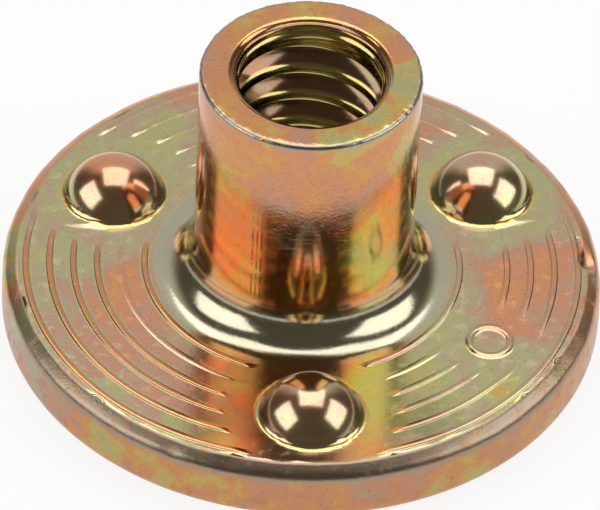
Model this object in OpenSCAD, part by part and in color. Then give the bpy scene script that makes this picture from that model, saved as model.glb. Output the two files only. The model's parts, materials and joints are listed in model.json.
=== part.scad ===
// Tee nut with a round flange, a threaded barrel and three raised projections.
// One cold-formed piece of steel, standing on the underside of its flange.
// Millimetres, +Z up along the barrel, origin at the centre of the underside.

/* [Flange] */
// Diameter of the round flange
flange_d = 21.7; // [20:0.1:26]
// Thickness of the flange
flange_t = 2.3; // [1.8:0.05:3]
// Rounding of the flange's upper edge
upper_edge_r = 0.65; // [0.1:0.05:0.8]
// Rounding of the flange's lower edge
lower_edge_r = 0.5; // [0.1:0.05:0.7]

/* [Barrel] */
// Outer diameter of the barrel
barrel_d = 7.94; // [7.4:0.02:8.6]
// Height of the whole nut, from the underside to the rim
nut_h = 11.5; // [7:0.1:20]
// Radius of the fillet where the barrel grows out of the flange
root_fillet_r = 1.35; // [0.5:0.05:1.5]
// Rounding of the rim's outer edge
rim_edge_r = 0.15; // [0.05:0.05:0.3]

/* [Bore] */
// Diameter of the tapped hole, measured at the thread's crests
bore_d = 5.1; // [4.4:0.05:5.6]
// Diameter of the lead-in cone where it meets the rim
lead_in_d = 6.15; // [5.8:0.05:6.6]
// Depth of the lead-in cone
lead_in_depth = 0.5; // [0.2:0.05:1]
// Rounding of the hole's mouth in the underside
mouth_r = 0.6; // [0.2:0.05:1]

/* [Projections] */
// Number of projections round the flange
projection_count = 3; // [2:1:4]
// Distance from the flange's rim to a projection's axis
projection_inset = 3.1; // [2.6:0.05:3.6]
// Radius of a projection's ball-shaped head
projection_r = 1.93; // [1.3:0.02:2.1]
// Height of a projection above the flange
projection_h = 1.32; // [0.6:0.02:1.5]
// Radius of the fillet at a projection's foot
projection_fillet_r = 0.2; // [0.1:0.05:0.4]
// Radius of the punched dimple below a projection
dimple_r = 1.6; // [0.8:0.05:1.8]
// Depth of the punched dimple
dimple_depth = 1.1; // [0.3:0.05:1.4]

/* [Tool marks] */
// Distance from the edge's rounding to the middle of the outermost rib
rib_edge_gap = 0.19; // [0.15:0.01:0.8]
// Least distance from the barrel's fillet to the middle of the innermost rib
rib_root_gap = 0.3; // [0.2:0.05:1]
// Distance from one rib to the next
rib_pitch = 0.86; // [0.5:0.02:1.4]
// Width of a rib where it meets the flange
rib_w = 0.24; // [0.16:0.02:0.4]
// Height of a rib above the flange
rib_h = 0.06; // [0.03:0.01:0.08]
// Radius of the plain ground round each projection, where no rib runs
projection_ground_r = 3; // [2.6:0.1:3.4]
// Middle radius of the small ring mark
ring_r = 0.74; // [0.5:0.02:1]
// Width of the ring mark where it meets the flange
ring_w = 0.27; // [0.16:0.01:0.4]
// Height of the ring mark above the flange
ring_h = 0.1; // [0.04:0.01:0.12]
// Angle of the ring mark, turned from the projection at the front
ring_angle = 58; // [45:1:75]
// Radius of the plain ground round the ring mark
ring_ground_r = 1.45; // [1.2:0.05:1.6]

/* [Hidden] */
$fn = 96;
flange_r = flange_d / 2;
barrel_r = barrel_d / 2;
bore_r = bore_d / 2;
lead_in_r = lead_in_d / 2;
projection_circle_r = flange_r - projection_inset;
rib_outer_r = flange_r - upper_edge_r - rib_edge_gap;
rib_inner_limit = barrel_r + root_fillet_r + rib_root_gap;
rib_count = 1 + floor((rib_outer_r - rib_inner_limit) / rib_pitch);
front_angle = -90;
// How far a cut runs past the face that it opens
overrun = flange_t / 2;
// How far a projection is rooted below the flange's face
root_depth = flange_t / 4;
steel_yellow = [0.76, 0.62, 0.38];

// Radius of the circle whose cap is w wide and stands h high
function cap_r(w, h) = (w * w / 4 + h * h) / (2 * h);

// Distance from a projection's axis to the centre of its foot fillet
function foot_x(head_z) =
    sqrt(pow(projection_r + projection_fillet_r, 2) - pow(projection_fillet_r - head_z, 2));

// What lies in a square corner outside a quarter circle: filled for a fillet, cut away for a rounding
module corner(r) {
    difference() {
        square(r);
        translate([r, r]) circle(r);
    }
}

// Half section of the flange and the barrel with its hole
module body_section() {
    difference() {
        union() {
            square([flange_r, flange_t]);
            square([barrel_r, nut_h]);
            translate([barrel_r, flange_t]) corner(root_fillet_r);
        }
        translate([flange_r, flange_t]) rotate(180) corner(upper_edge_r);
        translate([flange_r, 0]) rotate(90) corner(lower_edge_r);
        translate([barrel_r, nut_h]) rotate(180) corner(rim_edge_r);
        translate([0, -overrun]) square([bore_r, nut_h + 2 * overrun]);
        translate([bore_r, 0]) corner(mouth_r);
        polygon([
            [0, nut_h - lead_in_depth],
            [bore_r, nut_h - lead_in_depth],
            [lead_in_r, nut_h],
            [0, nut_h]
        ]);
    }
}

// Half section of a projection: a ball-shaped head that flares into the flange, drawn from its face
module projection_section() {
    head_z = projection_h - projection_r;
    foot = foot_x(head_z);
    touch_z = head_z + (projection_fillet_r - head_z) * projection_r / (projection_r + projection_fillet_r);
    intersection() {
        translate([0, -root_depth]) square([foot, root_depth + projection_h]);
        union() {
            translate([0, head_z]) circle(projection_r);
            difference() {
                translate([0, -root_depth]) square([foot, root_depth + touch_z]);
                translate([foot, projection_fillet_r]) circle(projection_fillet_r);
            }
        }
    }
}

module at_projections() {
    for (i = [0 : projection_count - 1])
        rotate(front_angle + i * 360 / projection_count)
            translate([projection_circle_r, 0, 0]) children();
}

module at_ring_mark() {
    rotate(front_angle + ring_angle) translate([projection_circle_r, 0, 0]) children();
}

// Raised round bead that runs once about the Z axis on the flange's face
module bead(radius, w, h) {
    rotate_extrude()
        translate([radius, flange_t + h - cap_r(w, h)]) circle(cap_r(w, h));
}

// Concentric ribs, stopped short of the projections and of the ring mark
module ribs() {
    difference() {
        for (i = [0 : rib_count - 1]) bead(rib_outer_r - i * rib_pitch, rib_w, rib_h);
        at_projections() cylinder(h = flange_t + overrun, r = projection_ground_r);
        at_ring_mark() cylinder(h = flange_t + overrun, r = ring_ground_r);
    }
}

module dimple() {
    translate([0, 0, dimple_depth - dimple_r]) sphere(dimple_r);
}

module tee_nut() {
    color(steel_yellow) difference() {
        union() {
            rotate_extrude() body_section();
            at_projections() translate([0, 0, flange_t]) rotate_extrude() projection_section();
            ribs();
            at_ring_mark() bead(ring_r, ring_w, ring_h);
        }
        at_projections() dimple();
    }
}

tee_nut();
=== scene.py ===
"""Tee nut of yellow-plated steel, standing on its flange on a pale table."""
import json
import math

import bpy
import numpy as np
from mathutils import Matrix, Vector


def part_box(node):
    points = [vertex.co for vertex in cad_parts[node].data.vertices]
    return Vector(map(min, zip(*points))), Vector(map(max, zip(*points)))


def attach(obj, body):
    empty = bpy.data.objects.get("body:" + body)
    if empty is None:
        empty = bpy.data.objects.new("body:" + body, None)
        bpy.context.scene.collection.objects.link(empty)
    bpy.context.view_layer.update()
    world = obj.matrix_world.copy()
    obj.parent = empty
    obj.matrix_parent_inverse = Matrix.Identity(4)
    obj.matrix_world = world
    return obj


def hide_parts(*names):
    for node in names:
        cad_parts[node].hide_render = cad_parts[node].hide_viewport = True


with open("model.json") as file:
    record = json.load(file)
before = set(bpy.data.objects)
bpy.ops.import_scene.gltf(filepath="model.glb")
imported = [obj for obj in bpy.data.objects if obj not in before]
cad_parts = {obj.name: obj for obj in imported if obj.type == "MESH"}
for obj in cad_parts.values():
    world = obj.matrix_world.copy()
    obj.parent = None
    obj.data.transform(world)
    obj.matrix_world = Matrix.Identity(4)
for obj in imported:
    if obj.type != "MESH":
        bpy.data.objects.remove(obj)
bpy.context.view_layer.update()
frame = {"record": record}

# Sizes, in millimetres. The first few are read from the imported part.
MM = 0.001
PART_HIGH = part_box("tee_nut")[1]
MOUNTS = {mount["name"]: mount["dims"] for mount in frame["record"]["mounts"]}
FLANGE_R = PART_HIGH.x / MM
NUT_H = PART_HIGH.z / MM
BORE_R = MOUNTS["thread"]["r_mm"]
BARREL_R = MOUNTS["barrel"]["r_mm"]

FLANGE_T = 2.3
EDGE_CORNER_R = 0.25
EDGE_BEVEL = 0.24
EDGE_BEVEL_SLOPE = 58
EDGE_SIDE_R = 0.45
EDGE_SET_BACK = 0.02
LOWER_EDGE_R = 0.5
ROOT_FILLET_R = 1.35
ROOT_FOOT_R = BARREL_R + ROOT_FILLET_R
RIM_EDGE_R = 0.15
RIM_BURR = 0.012
MOUTH_R = 0.6

# The flared lip where the thread meets the rim
LEAD_IN_R = 3.075
LIP_W = 0.56
LIP_DEPTH = 0.62
LIP_RIDGE = 0.05
LIP_ROWS = 25
LIP_ROWS_INSIDE = 16

THREAD_PITCH = 1.27
THREAD_ROOT_R = 3.17
THREAD_CREST_Z = 10.6
THREAD_CREST_ANGLE = math.radians(86)
THREAD_TOP_RUN_OUT = 0.5
THREAD_LOW_RUN_OUT = 1.2
# Half of one turn, from crest to root: share of the half pitch, and share of the depth
THREAD_SHAPE = [(0.08, 0), (0.2, 0.035), (0.32, 0.12), (0.42, 0.27), (0.8, 0.95), (0.88, 1)]

FRONT_ANGLE = math.radians(-90)
PROJECTION_COUNT = 3
PROJECTION_CIRCLE_R = FLANGE_R - 3.1
PROJECTION_R = 1.93
PROJECTION_H = 1.32
PROJECTION_FILLET_R = 0.15
PROJECTION_REACH = 2.3
PROJECTION_GROUND_R = 3.0
DIMPLE_R = 1.6
DIMPLE_DEPTH = 1.1
DIMPLE_EDGE_R = 0.15
DIMPLE_REACH = 2.0

# Ribs, from the outermost inwards: a flat back between two soft sides, as shares of the width
RIB_OUTER_R = FLANGE_R - 0.84
RIB_PITCH = 0.86
RIB_STRENGTHS = (0.9, 1, 1, 1, 0.35, 1)
RIB_COUNT = len(RIB_STRENGTHS)
RIB_FAINT = 4
RIB_W = 0.23
RIB_H = 0.034
RIB_FOOT = 0.54
RIB_SIDE = 0.19
RIB_END_FADE = 0.4
RIB_WEAR = 0.88

RING_ANGLE = FRONT_ANGLE + math.radians(58)
RING_R = 0.74
RING_W = 0.27
RING_H = 0.055
RING_GROUND_R = 1.45

# Marks of handling on the flange: dents, each with its place, reach and depth, and raised burrs
DENTS = [
    (10.36, 0.06, 0.30, 0.26),
    (10.28, 0.40, 0.24, 0.09),
    (10.26, 0.80, 0.26, 0.06),
    (10.22, 1.20, 0.24, 0.04),
    (-4.94, -9.54, 0.22, 0.05),
    (-3.13, -10.10, 0.2, 0.05),
]
BURRS = [((-7.3, 2.02), (-8.9, 2.22)), ((7.4, 2.08), (8.95, 2.48))]
BURR_W = 0.3
BURR_H = 0.07

# Waves that make the rim's edge rough and the flange's edge uneven: how many to a turn
RIM_WAVES = (7, 19, 37, 61, 89)
# How many to a turn, where they start, and their height
EDGE_WAVES = [(11, 2, 0.0096), (23, 0, 0.008), (57, 0, 0.0064)]

# Columns round the axis, closer together across the ring mark, and the distances between rows
COLUMN_COUNT = 480
RING_COLUMN_CROWD = 2.2
RING_COLUMN_SPAN = math.radians(8.5)
FLANGE_ROW_STEP = 0.15
RING_ROW_STEP = 0.07
UNDERSIDE_ROWS = 32
ROW_GAP = 0.0008


def smooth_step(value):
    """Runs from 0 to 1 as value does, with soft ends."""
    t = np.clip(value, 0, 1)
    return t * t * (3 - 2 * t)


def column_angles():
    """Angles of the columns, once round, with more of them across the ring mark."""
    fine = np.linspace(-math.pi, math.pi, 20001)
    away = np.abs(np.angle(np.exp(1j * (fine - RING_ANGLE)))) / RING_COLUMN_SPAN
    crowd = 1 + (RING_COLUMN_CROWD - 1) * smooth_step((1.25 - away) / 0.25)
    share = np.concatenate([[0], np.cumsum((crowd[1:] + crowd[:-1]) / 2)])
    return np.interp(np.arange(COLUMN_COUNT) / COLUMN_COUNT * share[-1], share, fine)


ANGLES = column_angles()
HALF_ANGLES = ANGLES[::2]


def arc(centre_r, centre_z, radius, start, end, steps):
    """Points of a circular arc in the half section, from one angle to another, in degrees."""
    turn = np.radians(np.linspace(start, end, steps + 1))
    return np.stack([centre_r + radius * np.cos(turn), centre_z + radius * np.sin(turn)], axis=1)


def straight(start, end, steps):
    """Points of a straight stretch of the half section."""
    return np.linspace(start, end, steps + 1)


def plain_ring(r, z, angles):
    """Points of a level ring round the axis."""
    return r * np.cos(angles), r * np.sin(angles), z + 0 * angles


class Skin:
    """Points and faces of one closed skin, gathered ring by ring."""

    def __init__(self):
        self.points = []
        self.faces = []
        self.zones = []

    def add(self, x, y, z):
        """Adds points and returns their numbers."""
        first = sum(len(block) for block in self.points)
        self.points.append(np.stack([x, y, z], axis=1))
        return np.arange(first, first + len(x))

    def join(self, lower, upper):
        """Faces between two rings with as many columns, or with twice as many in the upper one."""
        after = np.roll(lower, -1)
        if len(lower) == len(upper):
            corners = [lower, upper, np.roll(upper, -1), after]
        else:
            corners = [lower, upper[::2], upper[1::2], np.roll(upper[::2], -1), after]
        self.faces.extend(np.stack(corners, axis=1).tolist())

    def grow(self, last, points):
        """Adds a ring of points, joins it to the last ring and returns it."""
        ring = self.add(*points)
        self.join(last, ring)
        return ring

    def finish_zone(self, zone):
        """Gives every face added since the last call to one zone."""
        self.zones += [zone] * (len(self.faces) - len(self.zones))


def ball_profile(ball_r, top, fillet_r, reach, steps=400):
    """Even walk from the top of a ball-shaped swelling over its foot fillet to the plain ground at reach.

    Returns shares of the way with the distance from the axis and the height at each.
    """
    centre = top - ball_r
    foot = math.sqrt((ball_r + fillet_r) ** 2 - (fillet_r - centre) ** 2)
    slope = math.degrees(math.asin((fillet_r - centre) / (ball_r + fillet_r)))
    walk = np.concatenate([
        arc(0, centre, ball_r, 90, slope, steps),
        arc(foot, fillet_r, fillet_r, 180 + slope, 270, steps)[1:],
        straight((foot, 0), (reach, 0), steps)[1:],
    ])
    length = np.concatenate([[0], np.cumsum(np.hypot(*np.diff(walk, axis=0).T))])
    return length / length[-1], walk[:, 0], walk[:, 1]


def swell(x, y, z, centre, profile, reach):
    """Moves the points near a centre onto a ball-shaped swelling."""
    share, distance, height = profile
    dx = x - centre[0]
    dy = y - centre[1]
    away = np.maximum(np.hypot(dx, dy), 1e-9)
    near = away < reach
    walked = np.minimum(away / reach, 1)
    stretch = np.where(near, np.interp(walked, share, distance) / away, 1)
    lift = np.where(near, np.interp(walked, share, height), 0)
    return centre[0] + dx * stretch, centre[1] + dy * stretch, z + lift


def bead_height(offset, width, height):
    """Height of a rounded bead at a distance from its middle line, with a soft foot."""
    half = width / 2
    across = np.clip(1 - (offset / (1.25 * half)) ** 2, 0, 1)
    return height * across ** 1.5


def rib_height(offset):
    """Height of a rib at a distance from its middle line."""
    return RIB_H * smooth_step((RIB_FOOT * RIB_W - abs(offset)) / (RIB_SIDE * RIB_W))


def upper_edge():
    """Half section of the flange's upper edge: a tight corner, a bevel and a rounded side."""
    slope = math.radians(EDGE_BEVEL_SLOPE)
    side = arc(FLANGE_R - EDGE_SIDE_R, 0, EDGE_SIDE_R, EDGE_BEVEL_SLOPE, 0, 7)
    bevel_top = side[0] + EDGE_BEVEL * np.array([-math.sin(slope), math.cos(slope)])
    corner_centre = bevel_top - EDGE_CORNER_R * np.array([math.cos(slope), math.sin(slope)])
    corner = arc(*corner_centre, EDGE_CORNER_R, 90, EDGE_BEVEL_SLOPE, 4)
    walk = np.concatenate([corner, straight(bevel_top, side[0], 2)[1:], side[1:]])
    walk[:, 1] += FLANGE_T - walk[0, 1]
    return walk


def lead_in_lip():
    """Half section of the flare from the thread to the rim's flat top, with three fine ridges."""
    turn = np.radians(np.linspace(0, 90, LIP_ROWS))
    ridge = LIP_RIDGE * np.sin(6 * turn) ** 2 * np.cos(turn)
    r = LEAD_IN_R + LIP_W / 10 - (LIP_W + ridge) * np.cos(turn)
    z = NUT_H - LIP_DEPTH + (LIP_DEPTH + ridge) * np.sin(turn)
    return np.stack([r, np.minimum(z, NUT_H)], axis=1)


UPPER_EDGE = upper_edge()
LIP = lead_in_lip()

PROJECTION_CENTRES = [
    (PROJECTION_CIRCLE_R * math.cos(turn), PROJECTION_CIRCLE_R * math.sin(turn))
    for turn in (FRONT_ANGLE + i * math.tau / PROJECTION_COUNT for i in range(PROJECTION_COUNT))
]
RING_CENTRE = (PROJECTION_CIRCLE_R * math.cos(RING_ANGLE), PROJECTION_CIRCLE_R * math.sin(RING_ANGLE))
RIB_RADII = [RIB_OUTER_R - i * RIB_PITCH for i in range(RIB_COUNT)]


def flange_rows():
    """Radii of the rings on the flange's upper face: close together across ribs and the ring mark."""
    outer = UPPER_EDGE[0][0]
    back = RIB_FOOT - RIB_SIDE
    half = np.array([0, back, back + RIB_SIDE / 2, RIB_FOOT, RIB_FOOT + 0.08]) * RIB_W
    rows = {round(ROOT_FOOT_R, 4), round(outer, 4)}
    for radius in RIB_RADII:
        across = np.concatenate([radius - half, radius + half])
        rows.update(np.round(across[(across > ROOT_FOOT_R) & (across < outer)], 4))
    rows = sorted(rows)
    filled = []
    for low, high in zip(rows, rows[1:]):
        near_ring = abs((low + high) / 2 - PROJECTION_CIRCLE_R) < RING_R + RING_W
        step = RING_ROW_STEP if near_ring else FLANGE_ROW_STEP
        count = max(1, math.ceil((high - low) / step - 0.01))
        filled.extend(np.linspace(low, high, count, endpoint=False))
    return filled[1:] + [outer]


def flange_face(r, angles):
    """Points of one ring on the flange's upper face, with ribs, the ring mark and projections."""
    x = r * np.cos(angles)
    y = r * np.sin(angles)
    from_ring = np.hypot(x - RING_CENTRE[0], y - RING_CENTRE[1])
    from_ball = np.minimum.reduce([np.hypot(x - centre[0], y - centre[1]) for centre in PROJECTION_CENTRES])
    past_ground = (from_ball - PROJECTION_GROUND_R) / RIB_END_FADE
    # The ribs at the back are worn down, apart from their ends
    worn = smooth_step((y - 1) / 3) * smooth_step(past_ground - 0.6)
    standing = smooth_step(past_ground) * (1 - RIB_WEAR * worn)
    standing *= smooth_step((from_ring - RING_GROUND_R) / (3 * RIB_END_FADE))
    nearest = min(range(RIB_COUNT), key=lambda i: abs(r - RIB_RADII[i]))
    z = FLANGE_T + standing * RIB_STRENGTHS[nearest] * rib_height(r - RIB_RADII[nearest])
    z = z + bead_height(from_ring - RING_R, RING_W, RING_H) + burr_height(x, y)
    profile = ball_profile(PROJECTION_R, PROJECTION_H, PROJECTION_FILLET_R, PROJECTION_REACH)
    for centre in PROJECTION_CENTRES:
        x, y, z = swell(x, y, z, centre, profile, PROJECTION_REACH)
    return knocked(x, y, z)


def knocked(x, y, z):
    """Presses the dents into points of the flange's upper face or edge."""
    for dent_x, dent_y, reach, depth in DENTS:
        z = z - depth * smooth_step(1.3 - np.hypot(x - dent_x, y - dent_y) / reach)
    return x, y, z


def burr_height(x, y):
    """Height of the burrs, which taper away from the projections' feet."""
    height = 0 * x
    for (x0, y0), (x1, y1) in BURRS:
        length = math.hypot(x1 - x0, y1 - y0)
        way = ((x - x0) * (x1 - x0) + (y - y0) * (y1 - y0)) / length ** 2
        off = np.abs((x - x0) * (y1 - y0) - (y - y0) * (x1 - x0)) / length
        taper = np.clip(1 - way, 0, 1) * (way > -0.2)
        height = height + BURR_H * taper * np.clip(1 - off / (BURR_W * (0.15 + 0.5 * taper)), 0, 1)
    return height


def under_face(r, angles):
    """Points of one ring on the underside, with the punched dimples."""
    x, y, z = plain_ring(r, 0, angles)
    profile = ball_profile(DIMPLE_R, DIMPLE_DEPTH, DIMPLE_EDGE_R, DIMPLE_REACH)
    for centre in PROJECTION_CENTRES:
        x, y, z = swell(x, y, z, centre, profile, DIMPLE_REACH)
    return x, y, z


def thread_turn():
    """Rows of one turn of the thread: share of the pitch from a crest, and share of the depth."""
    rising = [(share / 2, depth) for share, depth in THREAD_SHAPE]
    falling = [(1 - share, depth) for share, depth in reversed(rising)]
    return rising + falling


def thread_radius(z, depth):
    """Radius of the hole's wall at a height, where the thread has cut a share of its depth."""
    lip_r, lip_z = LIP[0]
    run_out = smooth_step((lip_z - z) / THREAD_TOP_RUN_OUT) * smooth_step((z - 0.1) / THREAD_LOW_RUN_OUT)
    wall = BORE_R + (THREAD_ROOT_R - BORE_R) * depth * run_out
    lip = BORE_R + (lip_r - BORE_R) * smooth_step(1 - (lip_z - z) / 0.3)
    below = np.clip(MOUTH_R - z, 0, MOUTH_R)
    mouth = BORE_R + MOUTH_R - np.sqrt(MOUTH_R ** 2 - below ** 2)
    return np.maximum.reduce([wall, lip, mouth])


def thread_skin(skin, angles):
    """Wall of the tapped hole, in rows that climb with the thread. Returns its lowest and highest ring.

    Rows that would climb past the lip, or start below the mouth, are gathered close beside it.
    """
    turn = thread_turn()
    per_turn = len(turn)
    climb = THREAD_CREST_Z + THREAD_PITCH * (angles - THREAD_CREST_ANGLE) / math.tau
    lip_r, lip_z = LIP[0]
    first = per_turn * math.floor(-climb.max() / THREAD_PITCH)
    last = per_turn * math.ceil((lip_z - climb.min()) / THREAD_PITCH)
    numbers = []
    for k in range(first, last + 1):
        share, depth = turn[k % per_turn]
        z = climb + (k // per_turn + share) * THREAD_PITCH
        z = np.minimum(z, lip_z - ROW_GAP * (last + 1 - k))
        z = np.maximum(z, ROW_GAP * (k + 1 - first))
        numbers.append(skin.add(*plain_ring(thread_radius(z, depth), z, angles)))
    low = skin.add(*plain_ring(BORE_R + MOUTH_R, 0, angles))
    top = skin.add(*plain_ring(lip_r, lip_z, angles))
    rows = np.stack([low] + numbers + [top])
    for lower, upper in zip(rows, rows[1:]):
        quads = np.stack([lower[:-1], upper[:-1], upper[1:], lower[1:]], axis=1)
        skin.faces.extend(quads.tolist())
    # Where the turn closes, each row meets the one a whole turn further up
    here = rows[1:-1, -1]
    there = rows[1:-1, 0]
    for k in range(len(here) - per_turn - 1):
        skin.faces.append([here[k], here[k + 1], there[k + 1 + per_turn], there[k + per_turn]])
    skin.faces.append([low[-1], here[0]] + there[per_turn::-1].tolist() + [low[0]])
    skin.faces.append([top[0], there[-1]] + here[len(here) - per_turn - 1:].tolist() + [top[-1]])
    return low, top


def barrel_ring(r, z):
    """Points of one ring of the barrel's outside, burred at the rim's outer edge."""
    edge = smooth_step((r - BARREL_R + 0.3) / 0.2) * smooth_step((z - NUT_H + 0.28) / 0.12)
    wave = sum(np.sin(count * HALF_ANGLES + count ** 2) for count in RIM_WAVES) / 3
    burr = RIM_BURR * edge * wave
    return plain_ring(r + burr, z + 0.7 * burr, HALF_ANGLES)


def edge_ring(r, z):
    """Points of one ring of the flange's edge, a little uneven and dented near the upper face."""
    upper = smooth_step((z - 0.5 * FLANGE_T) / (0.4 * FLANGE_T))
    wave = sum(height * np.sin(count * HALF_ANGLES + start) for count, start, height in EDGE_WAVES)
    x, y, level = plain_ring(r - upper * (EDGE_SET_BACK + wave), z, HALF_ANGLES)
    x, y, dented = knocked(x, y, level)
    return x, y, level + upper * (dented - level)


def nut_skin():
    """Points and faces of the whole nut."""
    skin = Skin()
    low, last = thread_skin(skin, HALF_ANGLES)
    for r, z in LIP[1:LIP_ROWS_INSIDE]:
        last = skin.grow(last, plain_ring(r, z, HALF_ANGLES))
    skin.finish_zone("plated_thread")
    fillet_top = FLANGE_T + ROOT_FILLET_R
    outside = np.concatenate([
        LIP[LIP_ROWS_INSIDE:],
        straight(LIP[-1], (BARREL_R - RIM_EDGE_R, NUT_H), 3)[1:],
        arc(BARREL_R - RIM_EDGE_R, NUT_H - RIM_EDGE_R, RIM_EDGE_R, 90, 0, 5)[1:],
        straight((BARREL_R, NUT_H - RIM_EDGE_R), (BARREL_R, fillet_top), 6)[1:],
        arc(ROOT_FOOT_R, fillet_top, ROOT_FILLET_R, 180, 270, 20)[1:],
    ])
    for r, z in outside:
        last = skin.grow(last, barrel_ring(r, z))
    skin.finish_zone("plated_barrel")
    for r in flange_rows():
        last = skin.grow(last, flange_face(r, ANGLES))
    skin.finish_zone("plated_flange")
    edge = np.concatenate([
        UPPER_EDGE,
        straight(UPPER_EDGE[-1], (FLANGE_R, LOWER_EDGE_R), 4)[1:],
        arc(FLANGE_R - LOWER_EDGE_R, LOWER_EDGE_R, LOWER_EDGE_R, 0, -90, 6)[1:],
    ])
    # The edge has half as many columns as the face that it bounds
    ring = skin.add(*edge_ring(*edge[1]))
    corners = [ring, np.roll(ring, -1), np.roll(last[::2], -1), last[1::2], last[::2]]
    skin.faces.extend(np.stack(corners, axis=1).tolist())
    last = ring
    for r, z in edge[2:]:
        last = skin.grow(last, edge_ring(r, z))
    for r in np.linspace(FLANGE_R - LOWER_EDGE_R, BORE_R + MOUTH_R, UNDERSIDE_ROWS)[1:-1]:
        last = skin.grow(last, under_face(r, HALF_ANGLES))
    skin.join(last, low)
    skin.finish_zone("plated_edge")
    return np.concatenate(skin.points), skin.faces, skin.zones


def make_nut():
    points, faces, zones = nut_skin()
    mesh = bpy.data.meshes.new("plated_nut")
    mesh.from_pydata((points * MM).tolist(), [], faces)
    for name, recipe in ZONE_RECIPES.items():
        mesh.materials.append(plated_material(name, recipe))
    order = list(ZONE_RECIPES)
    mesh.polygons.foreach_set("material_index", [order.index(zone) for zone in zones])
    mesh.update()
    mesh.shade_smooth()
    nut = bpy.data.objects.new("plated_nut", mesh)
    bpy.context.scene.collection.objects.link(nut)
    return nut


def add_node(tree, kind, inputs=None, **settings):
    """Adds a node and sets its inputs, each to a plain value or to another node's output."""
    node = tree.nodes.new(kind)
    for name, value in settings.items():
        setattr(node, name, value)
    for name, value in (inputs or {}).items():
        if isinstance(value, bpy.types.NodeSocket):
            tree.links.new(value, node.inputs[name])
        else:
            node.inputs[name].default_value = value
    return node


def calc(tree, operation, *values):
    """One step of arithmetic on numbers."""
    return add_node(tree, "ShaderNodeMath", dict(enumerate(values)), operation=operation).outputs[0]


def both(tree, first, second):
    """Where both masks are."""
    return calc(tree, "MULTIPLY", first, second)


def either(tree, first, second):
    """Where one of two masks is."""
    return calc(tree, "MAXIMUM", first, second)


def apart(tree, first, second):
    """How far two numbers are apart."""
    return calc(tree, "ABSOLUTE", calc(tree, "SUBTRACT", first, second))


def vector_step(tree, operation, inputs):
    """One step of arithmetic on places; returns the node's outputs."""
    return add_node(tree, "ShaderNodeVectorMath", inputs, operation=operation).outputs


def distance(tree, place, centre):
    return vector_step(tree, "DISTANCE", {0: place, 1: centre})["Value"]


def noise(tree, place, scale, detail, **others):
    """A cloudy number from 0 to 1."""
    inputs = {"Vector": place, "Scale": scale, "Detail": detail}
    return add_node(tree, "ShaderNodeTexNoise", {**inputs, **others}).outputs["Fac"]


def fade(tree, value, start, end, low=0.0, high=1.0):
    """Runs softly from low to high while value runs from start to end."""
    inputs = {"Value": value, "From Min": start, "From Max": end, "To Min": low, "To Max": high}
    return add_node(tree, "ShaderNodeMapRange", inputs, interpolation_type="SMOOTHSTEP").outputs["Result"]


def blend(tree, mask, first, second):
    """Goes from the first number to the second where the mask is 1."""
    return add_node(tree, "ShaderNodeMix", {0: mask, 2: first, 3: second}, data_type="FLOAT").outputs[0]


def blend_colour(tree, mask, first, second):
    """Goes from the first colour to the second where the mask is 1."""
    return add_node(tree, "ShaderNodeMix", {0: mask, 6: first, 7: second}, data_type="RGBA").outputs[2]


def new_group(name, inputs, outputs):
    """An empty shader group with named inputs and outputs; returns it with its two end nodes."""
    group = bpy.data.node_groups.new(name, "ShaderNodeTree")
    for socket, kind in inputs.items():
        group.interface.new_socket(socket, in_out="INPUT", socket_type=kind)
    for socket, kind in outputs.items():
        group.interface.new_socket(socket, in_out="OUTPUT", socket_type=kind)
    return group, group.nodes.new("NodeGroupInput").outputs, group.nodes.new("NodeGroupOutput").inputs


def placed_group(tree, group, inputs):
    """Puts a shader group into a material and sets its inputs; returns its outputs."""
    return add_node(tree, "ShaderNodeGroup", inputs, node_tree=group).outputs


# The chromate film: places on its run of colours, which comes round again to olive
OLIVE = 0.0
MOSS = 0.12
GOLD = 0.27
ORANGE = 0.4
SALMON = 0.53
PINK = 0.66
MAUVE = 0.8
OLIVE_AGAIN = 0.97
FILM_COLOURS = {
    OLIVE: (0.57, 0.54, 0.28),
    MOSS: (0.60, 0.55, 0.24),
    GOLD: (0.75, 0.53, 0.17),
    ORANGE: (0.82, 0.40, 0.15),
    SALMON: (0.79, 0.36, 0.20),
    PINK: (0.68, 0.39, 0.25),
    MAUVE: (0.61, 0.46, 0.30),
    OLIVE_AGAIN: (0.57, 0.54, 0.28),
}
# The film pressed thin in the root fillet, and bare metal: rubbed dull, and burred bright
ROOT_FILM = (0.6, 0.57, 0.47, 1)
RUBBED_STEEL = (0.34, 0.29, 0.22, 1)
BURR_STEEL = (0.4, 0.37, 0.31, 1)


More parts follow.
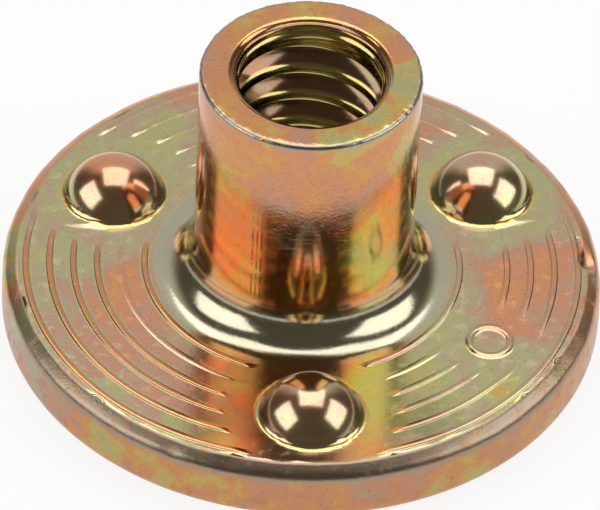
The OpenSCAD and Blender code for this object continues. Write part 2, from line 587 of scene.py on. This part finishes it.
def film_colour_group():
    """Colour of the chromate film from its thickness, clouded by slow and fine noise and dimmed by pits;
    Depth scales it, and carries painted light and shade.
    """
    group, given, out = new_group(
        "film_colour",
        {"Place": "NodeSocketVector", "Thickness": "NodeSocketFloat", "Mottle": "NodeSocketFloat",
         "Depth": "NodeSocketFloat"},
        {"Colour": "NodeSocketColor"},
    )
    place = given["Place"]
    slow = calc(group, "SUBTRACT", noise(group, place, 0.75, 3.0, Distortion=0.4), 0.5)
    fine = calc(group, "SUBTRACT", noise(group, place, 3.6, 4.0, Roughness=0.6), 0.5)
    cloud = calc(group, "MULTIPLY_ADD", fine, 0.5, slow)
    thickness = calc(group, "MULTIPLY_ADD", cloud, given["Mottle"], given["Thickness"])
    ramp = add_node(group, "ShaderNodeValToRGB", {"Fac": calc(group, "FRACT", thickness)})
    stops = ramp.color_ramp.elements
    while len(stops) < len(FILM_COLOURS):
        stops.new(0.5)
    for stop, (position, colour) in zip(stops, FILM_COLOURS.items()):
        stop.position = position
        stop.color = (*colour, 1)
    grit = fade(group, noise(group, place, 13.0, 3.0), 0.25, 0.5, 0.84, 1.0)
    pits = fade(group, noise(group, place, 6.5, 6.0), 0.26, 0.4, 0.8, 1.0)
    dim = both(group, both(group, grit, given["Depth"]), pits)
    shaded = vector_step(group, "SCALE", {0: ramp.outputs["Color"], "Scale": dim})
    group.links.new(shaded[0], out["Colour"])
    return group


def soft_patch_group():
    """Mask of a round patch with a soft edge."""
    group, given, out = new_group(
        "soft_patch",
        {"Place": "NodeSocketVector", "Centre": "NodeSocketVector", "Reach": "NodeSocketFloat"},
        {"Mask": "NodeSocketFloat"},
    )
    share = calc(group, "DIVIDE", distance(group, given["Place"], given["Centre"]), given["Reach"])
    group.links.new(fade(group, share, 1.45, 0.4), out["Mask"])
    return group


def handling_group():
    """Grain and scratches of a tumbled part: a height for bump, and a mask of rubbed spots."""
    group, given, out = new_group(
        "handling",
        {"Place": "NodeSocketVector", "Along": "NodeSocketVector"},
        {"Height": "NodeSocketFloat", "Rubbed": "NodeSocketFloat"},
    )
    scratch = fade(group, noise(group, given["Along"], 5.0, 3.0), 0.62, 0.72)
    height = calc(group, "MULTIPLY_ADD", scratch, -0.3, noise(group, given["Place"], 9.0, 4.0))
    group.links.new(height, out["Height"])
    group.links.new(fade(group, noise(group, given["Place"], 2.2, 5.0), 0.5, 0.72), out["Rubbed"])
    return group


FILM_COLOUR = film_colour_group()
SOFT_PATCH = soft_patch_group()
HANDLING = handling_group()


def round_axis(turn, r, z):
    """A place by its turn round the axis, in degrees, its distance from it and its height."""
    return (r * math.cos(math.radians(turn)), r * math.sin(math.radians(turn)), z)


# Patches of the film end up as centre, reach and colour.
# On the flange they are written as turn, distance from the axis, reach and colour.
FLANGE_PATCHES = [(round_axis(turn, r, FLANGE_T), reach, colour) for turn, r, reach, colour in [
    (176, 8.9, 1.2, 1 + OLIVE),
    (-160, 9.6, 1.1, 0.74),
    (-157, 8.0, 1.5, PINK),
    (-140, 8.6, 1.7, 0.6),
    (-169, 6.5, 1.5, 0.47),
    (-150, 6.7, 1.2, SALMON),
    (-128, 6.8, 1.2, PINK),
    (-124, 8.8, 1.2, 0.6),
    (-136, 9.9, 0.9, 0.95),
    (-118, 9.9, 0.9, 1.05),
    (-112, 8.4, 1.3, 0.8),
    (-107, 7.2, 0.8, 0.66),
    (-104, 9.2, 0.9, 0.64),
    (-76, 8.6, 1.0, 0.98),
    (-72, 6.6, 0.9, 1.05),
    (-62, 8.8, 1.6, 1.13),
    (-54, 7.2, 1.2, 1.14),
    (-45, 9.6, 1.1, 1.15),
    (-36, 8.3, 1.3, 0.93),
    (-36, 6.2, 1.0, 1.04),
    (-17, 8.3, 1.8, 0.55),
    (-4, 7.4, 1.3, 0.5),
    (2, 9.0, 1.2, SALMON),
    (-18, 10.0, 0.9, 0.55),
    (14, 9.9, 0.9, MAUVE),
    (12, 5.9, 1.0, 0.7),
    (30, 7.8, 2.5, 1 + MOSS),
    (58, 8.8, 1.2, 0.7),
    (66, 7.6, 1.8, 0.6),
    (110, 9.6, 1.3, 0.6),
    (126, 8.4, 1.5, 1.06),
    (133, 9.8, 1.0, MAUVE),
    (120, 6.2, 1.3, MAUVE),
    (150, 7.8, 2.4, 1.04),
]]
# On the tops of the projections: turn and colour
PROJECTION_PATCHES = [
    (round_axis(turn, PROJECTION_CIRCLE_R, FLANGE_T + 1.2), 1.9, colour)
    for turn, colour in [(-90, 0.76), (30, 0.72), (150, 0.62)]
]
# On the barrel's side: turn, height, reach and colour
BARREL_PATCHES = [(round_axis(turn, 4.0, z), reach, colour) for turn, z, reach, colour in [
    (-150, 8.6, 1.4, PINK),
    (-134, 8.9, 1.5, 0.33),
    (-122, 6.6, 1.4, 0.5),
    (-124, 4.6, 1.3, 0.36),
    (-105, 8.8, 1.5, 0.6),
    (-104, 10.4, 0.9, 0.5),
    (-86, 9.6, 1.2, 0.5),
    (-84, 7.6, 1.3, 0.45),
    (-66, 9.2, 1.5, 0.46),
    (-62, 8.2, 1.3, PINK),
    (-46, 8.4, 1.2, 0.4),
    (-48, 5.8, 1.9, 0.05),
    (-92, 7.0, 1.0, 0.82),
    (-90, 5.0, 1.0, 0.32),
    (-36, 6.0, 1.4, 0.1),
    (-30, 9.8, 1.3, 0.2),
]]
# On the rim: turn, reach and colour
RIM_PATCHES = [(round_axis(turn, 3.4, NUT_H + 0.4), reach, colour) for turn, reach, colour in [
    (180, 1.4, 0.44),
    (-150, 1.2, 0.4),
    (-125, 1.15, 0.36),
    (-100, 0.8, 0.68),
    (-78, 0.9, 0.1),
    (-55, 1.2, 0.08),
    (-28, 0.9, 0.2),
    (0, 1.1, 0.03),
    (36, 1.2, 0.35),
    (64, 0.9, 0.55),
    (88, 1.0, 0.28),
    (114, 1.3, 0.36),
    (146, 1.3, 0.42),
]]
# On the flange's edge: turn, height, reach and colour
EDGE_PATCHES = [(round_axis(turn, 10.8, z), reach, colour) for turn, z, reach, colour in [
    (175, 2.2, 1.5, 0.03),
    (-164, 2.2, 1.5, 0.9),
    (-8, 2.2, 1.5, 0.62),
    (12, 2.2, 1.5, 0.7),
    (-150, 1.2, 1.6, 0.74),
    (-132, 0.8, 1.2, GOLD),
    (-115, 1.0, 1.5, 0.34),
    (-98, 0.8, 1.4, 0.5),
    (-78, 1.0, 1.6, 0.58),
    (-60, 0.9, 1.5, 0.36),
    (-42, 0.8, 1.4, 0.42),
    (-25, 1.0, 1.6, 0.5),
]]
# Patches that darken the flange's film: centre and reach
FLANGE_DARK_PATCHES = [
    (round_axis(-109, 8.1, FLANGE_T), 1.4),
    (round_axis(-111, 6.3, FLANGE_T), 1.0),
    (round_axis(-64, 9.3, FLANGE_T), 1.2),
]
DARK_PATCH_DEPTH = 0.7
# Upright scratches on the barrel: turn in degrees, and half width
BARREL_SCRATCHES = [(-121, 0.07), (-118.5, 0.05), (-116, 0.06)]


def broken(tree, place, scale, start, end):
    """A mask that comes and goes along an edge."""
    return fade(tree, noise(tree, place, scale, 4.0), start, end)


def from_axis(tree, x, y):
    """Distance from the nut's axis."""
    flat = add_node(tree, "ShaderNodeCombineXYZ", {0: x, 1: y}).outputs[0]
    return vector_step(tree, "LENGTH", {0: flat})["Value"]


# The marks on each zone are masks by name, made from a place and its three parts.
def thread_marks(tree, place, x, y, z):
    """Inside the hole the film is thin on the crests, which are painted brighter than the grooves; the
    grooves' darkness is painted shade.
    """
    return {"crest": fade(tree, from_axis(tree, x, y), BORE_R + 0.22, BORE_R + 0.1)}


def barrel_marks(tree, place, x, y, z):
    """The rim's outer edge is burred to bare metal, and the root fillet is pressed smooth."""
    r = from_axis(tree, x, y)
    edge = both(tree, fade(tree, r, BARREL_R - 0.2, BARREL_R - 0.1),
                fade(tree, z, NUT_H - 0.24, NUT_H - 0.12))
    scratched = 0.0
    for turn, width in BARREL_SCRATCHES:
        aside = (math.sin(math.radians(turn)), -math.cos(math.radians(turn)), 0)
        off = calc(tree, "ABSOLUTE", vector_step(tree, "DOT_PRODUCT", {0: place, 1: aside})["Value"])
        scratched = either(tree, scratched, fade(tree, off, width, 0.4 * width))
    length = both(tree, fade(tree, z, 8.2, 7.0), fade(tree, z, 3.7, 4.4))
    scratched = both(tree, both(tree, scratched, length), broken(tree, place, 2.0, 0.35, 0.55))
    root = fade(tree, z, FLANGE_T + ROOT_FILLET_R + 0.3, FLANGE_T + 0.6 * ROOT_FILLET_R)
    return {
        "rubbed": both(tree, edge, broken(tree, place, 3.5, 0.3, 0.5)),
        "polished": root,
        "root": root,
        "scratched": scratched,
        # Painted light: the rim's top is made brighter, as light from above leaves it
        "pale": fade(tree, z, NUT_H - 0.14, NUT_H - 0.04),
    }


def rib_marks(tree, place, x, y):
    """Masks of the ribs' backs, with the ring mark, and of the ground beside the ribs."""
    count = calc(tree, "DIVIDE", calc(tree, "SUBTRACT", RIB_OUTER_R, from_axis(tree, x, y)), RIB_PITCH)
    nearest = calc(tree, "ROUND", count)
    off_rib = apart(tree, count, nearest)
    # The film of the ribs shows most at the left and the front, and least on the faint rib
    leftward = calc(tree, "MULTIPLY_ADD", y, 0.5, x)
    shown = both(tree, fade(tree, leftward, 3, -4, 0.3, 1), fade(tree, y, 3, 0, 0.3, 1))
    shown = both(tree, shown, fade(tree, apart(tree, nearest, RIB_FAINT), 0, 1, 0.3, 1))
    from_ring = distance(tree, place, (*RING_CENTRE, FLANGE_T))
    shown = both(tree, shown, fade(tree, from_ring, RING_GROUND_R, RING_GROUND_R + 1))
    from_ball = ball_distance(tree, place)
    shown = both(tree, shown, fade(tree, from_ball, PROJECTION_GROUND_R, PROJECTION_GROUND_R + 0.15))
    ring = fade(tree, apart(tree, from_ring, RING_R), 0.17, 0.11, 0, 0.3)
    return {
        "beside_rib": both(tree, fade(tree, off_rib, 0.27, 0.17), shown),
        "rib": either(tree, both(tree, fade(tree, off_rib, 0.15, 0.1), shown), ring),
    }


def ball_distance(tree, place):
    """Distance from the middle of the nearest projection's ball."""
    ball_z = FLANGE_T + PROJECTION_H - PROJECTION_R
    away = [distance(tree, place, (*centre, ball_z)) for centre in PROJECTION_CENTRES]
    nearest = away[0]
    for other in away[1:]:
        nearest = calc(tree, "MINIMUM", nearest, other)
    return nearest


def flange_marks(tree, place, x, y, z):
    """Rib backs take a warmer film, and the projections and the root fillet are pressed smooth."""
    r = from_axis(tree, x, y)
    from_ball = ball_distance(tree, place)
    ball = fade(tree, from_ball, PROJECTION_R + 0.2, PROJECTION_R + 0.04)
    foot = both(tree, fade(tree, from_ball, PROJECTION_R + 0.2, PROJECTION_R + 0.1),
                fade(tree, from_ball, PROJECTION_R, PROJECTION_R + 0.06))
    return {
        **rib_marks(tree, place, x, y),
        "polished": either(tree, fade(tree, r, ROOT_FOOT_R + 0.4, ROOT_FOOT_R), ball),
        "root": fade(tree, r, ROOT_FOOT_R + 0.25, ROOT_FOOT_R - 0.25),
        "ball": ball,
        "foot": foot,
    }


def edge_marks(tree, place, x, y, z):
    """The upper edge has been knocked and rubbed dull at the front, and is painted lighter at the sides."""
    upper = fade(tree, z, FLANGE_T - 0.7, FLANGE_T - 0.4)
    side_y = -0.1 * FLANGE_R
    front_y = -0.65 * FLANGE_R
    front = both(tree, upper, fade(tree, y, side_y, front_y, 0.2, 1))
    return {
        "rubbed": both(tree, front, broken(tree, place, 5.0, 0.2, 0.6)),
        # Painted light: the upper edge is made brighter at the sides than at the front
        "pale": both(tree, upper, fade(tree, y, front_y, side_y)),
    }


# What the marks do, in this order: how far they take the film, and to which colour
MARK_FILMS = {
    "beside_rib": (0.6, 1 + MOSS),
    "rib": (0.92, 0.42),
    "root": (1, 1 + OLIVE),
    "crest": (1, MOSS),
    "foot": (1, 1 + GOLD),
}
# How bright they leave the film's colour, darker in scratches, with painted highlight on the thread's crests
# and painted light on the rim's top and the edge's sides; and how rough the surface
MARK_DEPTHS = {"crest": 0.8, "rib": 0.86, "pale": 1, "scratched": 0.4, "ball": 1.05}
MARK_ROUGHNESS = {"polished": 0.14, "ball": 0.165, "rubbed": 0.3}
ROOT_FILM_SHARE = 0.6
# How far the edges of the patches wander, in millimetres
WANDER = 2.6

# What each zone of the skin is like. Film is its place on the run of colours, mottle its clouding and
# depth its brightness, which below 1 is painted shade: deepest in the hole, then on the flange's side and
# on the barrel. Grain is the height of the bump in micrometres, and along squeezes its scratches.
ZONE_RECIPES = {
    "plated_thread": {
        # Its low depth is painted shade inside the hole; the crests are painted brighter again
        "film": 0.7, "mottle": 0.5, "depth": 0.46, "patches": [], "stains": [],
        "roughness": 0.14, "grain": 1, "along": (1, 1, 4), "marks": thread_marks,
    },
    "plated_barrel": {
        # Its depth below 1 is painted shade on the barrel
        "film": 0.5, "mottle": 0.7, "depth": 0.78, "patches": BARREL_PATCHES + RIM_PATCHES, "stains": [],
        "roughness": 0.13, "grain": 2.5, "along": (0.5, 0.5, 7), "marks": barrel_marks, "rubbed": BURR_STEEL,
    },
    "plated_flange": {
        "film": 0.82, "mottle": 0.6, "depth": 1, "patches": FLANGE_PATCHES + PROJECTION_PATCHES,
        "stains": FLANGE_DARK_PATCHES, "roughness": 0.19, "grain": 1.5, "along": (1, 0.4, 1), "marks": flange_marks,
    },
    "plated_edge": {
        # Its depth below 1 is painted shade on the flange's side
        "film": 0.5, "mottle": 1.1, "depth": 0.68, "patches": EDGE_PATCHES, "stains": [],
        "roughness": 0.36, "grain": 7, "along": (1, 1, 3), "marks": edge_marks, "rubbed": RUBBED_STEEL,
    },
}


def wandering_place(tree, place):
    """The place, swayed by slow noise, so that the patches have no round outlines."""
    sway = add_node(tree, "ShaderNodeTexNoise", {"Vector": place, "Scale": 0.9, "Detail": 1.5})
    offset = vector_step(tree, "SUBTRACT", {0: sway.outputs["Color"], 1: (0.5, 0.5, 0.5)})[0]
    return vector_step(tree, "MULTIPLY_ADD", {0: offset, 1: (WANDER, WANDER, WANDER), 2: place})[0]


def plated_material(name, recipe):
    """Yellow chromate over bright zinc plate, as it has come out on one zone of the nut."""
    material = bpy.data.materials.new(name)
    material.use_nodes = True
    tree = material.node_tree
    shader = tree.nodes["Principled BSDF"]
    shader.inputs["Metallic"].default_value = 1
    spot = add_node(tree, "ShaderNodeTexCoord").outputs["Object"]
    place = vector_step(tree, "SCALE", {0: spot, "Scale": 1 / MM})[0]
    wandering = wandering_place(tree, place)
    part = add_node(tree, "ShaderNodeSeparateXYZ", {0: place}).outputs
    marks = recipe["marks"](tree, place, part["X"], part["Y"], part["Z"])

    film = recipe["film"]
    for centre, reach, colour in recipe["patches"]:
        patch = placed_group(tree, SOFT_PATCH, {"Place": wandering, "Centre": centre, "Reach": reach})
        film = blend(tree, patch["Mask"], film, colour)
    for mark, (share, colour) in MARK_FILMS.items():
        if mark in marks:
            film = blend(tree, both(tree, marks[mark], share), film, colour)
    depth = recipe["depth"]
    for centre, reach in recipe["stains"]:
        dark_patch = placed_group(tree, SOFT_PATCH, {"Place": wandering, "Centre": centre, "Reach": reach})
        depth = blend(tree, dark_patch["Mask"], depth, DARK_PATCH_DEPTH)
    for mark, left in MARK_DEPTHS.items():
        if mark in marks:
            depth = blend(tree, marks[mark], depth, left)
    along = vector_step(tree, "MULTIPLY", {0: place, 1: recipe["along"]})[0]
    handled = placed_group(tree, HANDLING, {"Place": place, "Along": along})
    roughness = fade(tree, handled["Rubbed"], 0, 1, recipe["roughness"] * 0.85, recipe["roughness"] * 1.35)
    for mark, left in MARK_ROUGHNESS.items():
        if mark in marks:
            roughness = blend(tree, marks[mark], roughness, left)
    coated = {"Place": place, "Thickness": film, "Mottle": recipe["mottle"], "Depth": depth}
    colour = placed_group(tree, FILM_COLOUR, coated)["Colour"]
    if "root" in marks:
        colour = blend_colour(tree, both(tree, marks["root"], ROOT_FILM_SHARE), colour, ROOT_FILM)
    if "rubbed" in marks:
        colour = blend_colour(tree, marks["rubbed"], colour, recipe["rubbed"])
    bump = add_node(tree, "ShaderNodeBump", {"Height": handled["Height"], "Distance": recipe["grain"] * 1e-6})
    tree.links.new(colour, shader.inputs["Base Color"])
    tree.links.new(roughness, shader.inputs["Roughness"])
    tree.links.new(bump.outputs["Normal"], shader.inputs["Normal"])
    return material


nut = make_nut()
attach(nut, "root")
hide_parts("tee_nut")

# The camera: its turn and height round the nut, its tilt, and the picture's scale
VIEW_TURN = math.radians(-4.2)
VIEW_HEIGHT = math.radians(42.9)
VIEW_TILT = math.radians(2.785)
VIEW_DISTANCE = 0.27166
FRAME_PIXELS = 600
FOCUS_PIXELS = 7459
AIM_RIGHT = 0.000093
AIM_UP = -0.001975


def add_camera():
    data = bpy.data.cameras.new("camera")
    data.sensor_width = 36
    data.lens = FOCUS_PIXELS / FRAME_PIXELS * data.sensor_width
    data.clip_start = 0.01
    camera = bpy.data.objects.new("camera", data)
    bpy.context.scene.collection.objects.link(camera)
    level = Vector((-math.sin(VIEW_TURN), math.cos(VIEW_TURN), 0))
    ahead = level * math.cos(VIEW_HEIGHT) - Vector((0, 0, math.sin(VIEW_HEIGHT)))
    right = Vector((math.cos(VIEW_TURN), math.sin(VIEW_TURN), 0))
    up = right.cross(ahead)
    eye = -ahead * VIEW_DISTANCE - right * AIM_RIGHT - up * AIM_UP
    tilted_right = right * math.cos(VIEW_TILT) + up * math.sin(VIEW_TILT)
    tilted_up = up * math.cos(VIEW_TILT) - right * math.sin(VIEW_TILT)
    turn = Matrix((tilted_right, tilted_up, -ahead)).transposed().to_4x4()
    camera.matrix_world = Matrix.Translation(eye) @ turn
    bpy.context.scene.camera = camera


# Softboxes: turn from the camera's side, to the right, height, width, depth and radiance
SOFTBOXES = {
    "left_softbox": (-74, 33, 0.265, 0.195, 1.9),
    "right_softbox": (84, 36, 0.265, 0.205, 1.9),
    "top_softbox": (180, 74, 0.255, 0.25, 1.85),
}
SOFTBOX_DISTANCE = 0.3
SOFTBOX_AIM = Vector((0, 0, 0.003))
# The room: dim and warm at the front and the sides, with a pale back wall
ROOM_STRENGTH = 0.105
ROOM_COLOUR = (1, 0.88, 0.64, 1)
BACK_WALL_STRENGTH = 0.64
WHITE = (1, 1, 1, 1)


def add_softbox(name, turn, height, width, depth, radiance):
    """Rectangular light that faces the nut."""
    data = bpy.data.lights.new(name, "AREA")
    data.shape = "RECTANGLE"
    data.size = width
    data.size_y = depth
    data.energy = radiance * math.pi * width * depth
    lamp = bpy.data.objects.new(name, data)
    bpy.context.scene.collection.objects.link(lamp)
    round_nut = math.radians(turn) + VIEW_TURN
    rise = math.radians(height)
    level = Vector((math.sin(round_nut), -math.cos(round_nut), 0))
    away = level * math.cos(rise) + Vector((0, 0, math.sin(rise)))
    lamp.location = away * SOFTBOX_DISTANCE + SOFTBOX_AIM
    lamp.rotation_euler = away.to_track_quat("Z", "Y").to_euler()


def add_room():
    world = bpy.data.worlds.new("room")
    world.use_nodes = True
    bpy.context.scene.world = world
    tree = world.node_tree
    background = tree.nodes["Background"]
    ways = add_node(tree, "ShaderNodeTexCoord").outputs["Generated"]
    part = add_node(tree, "ShaderNodeSeparateXYZ", {0: ways}).outputs
    behind = fade(tree, part["Y"], 0.25, 0.65)
    middle = fade(tree, calc(tree, "ABSOLUTE", part["X"]), 0.82, 0.32)
    back_wall = both(tree, behind, middle)
    strength = fade(tree, back_wall, 0, 1, ROOM_STRENGTH, BACK_WALL_STRENGTH)
    tree.links.new(strength, background.inputs["Strength"])
    tree.links.new(blend_colour(tree, back_wall, ROOM_COLOUR, WHITE), background.inputs["Color"])


# The table lies just below the nut, and shows white round it
TABLE_R = 0.6
TABLE_Z = -0.00002
TABLE_COLOUR = (0.95, 0.95, 0.95, 1)
TABLE_WHITE_R = 0.02
TABLE_WHITE_END_R = 0.05
TABLE_WHITE_SHARE = 0.88


def add_table():
    bpy.ops.mesh.primitive_circle_add(vertices=96, radius=TABLE_R, fill_type="NGON", location=(0, 0, TABLE_Z))
    table = bpy.context.object
    table.name = "table"
    material = bpy.data.materials.new("white_card")
    material.use_nodes = True
    tree = material.node_tree
    shader = tree.nodes["Principled BSDF"]
    shader.inputs["Base Color"].default_value = TABLE_COLOUR
    shader.inputs["Roughness"].default_value = 0.9
    spot = add_node(tree, "ShaderNodeTexCoord").outputs["Object"]
    away = vector_step(tree, "LENGTH", {0: spot})["Value"]
    near = fade(tree, away, TABLE_WHITE_END_R, TABLE_WHITE_R, 0, TABLE_WHITE_SHARE)
    ray = add_node(tree, "ShaderNodeLightPath").outputs
    seen = calc(tree, "ADD", ray["Is Camera Ray"], ray["Is Glossy Ray"])
    seen = calc(tree, "ADD", seen, ray["Is Transmission Ray"])
    glow = add_node(tree, "ShaderNodeEmission", {"Color": WHITE, "Strength": 1}).outputs[0]
    card = {0: both(tree, seen, near), 1: shader.outputs[0], 2: glow}
    mixed = add_node(tree, "ShaderNodeMixShader", card).outputs[0]
    # From below the table is clear, so that the underside of the nut can be seen
    clear = add_node(tree, "ShaderNodeBsdfTransparent").outputs[0]
    under = add_node(tree, "ShaderNodeNewGeometry").outputs["Backfacing"]
    shown = add_node(tree, "ShaderNodeMixShader", {0: under, 1: mixed, 2: clear}).outputs[0]
    tree.links.new(shown, tree.nodes["Material Output"].inputs["Surface"])
    table.data.materials.append(material)


add_camera()
for name, sizes in SOFTBOXES.items():
    add_softbox(name, *sizes)
add_room()
add_table()
bpy.context.scene.view_settings.view_transform = "Standard"
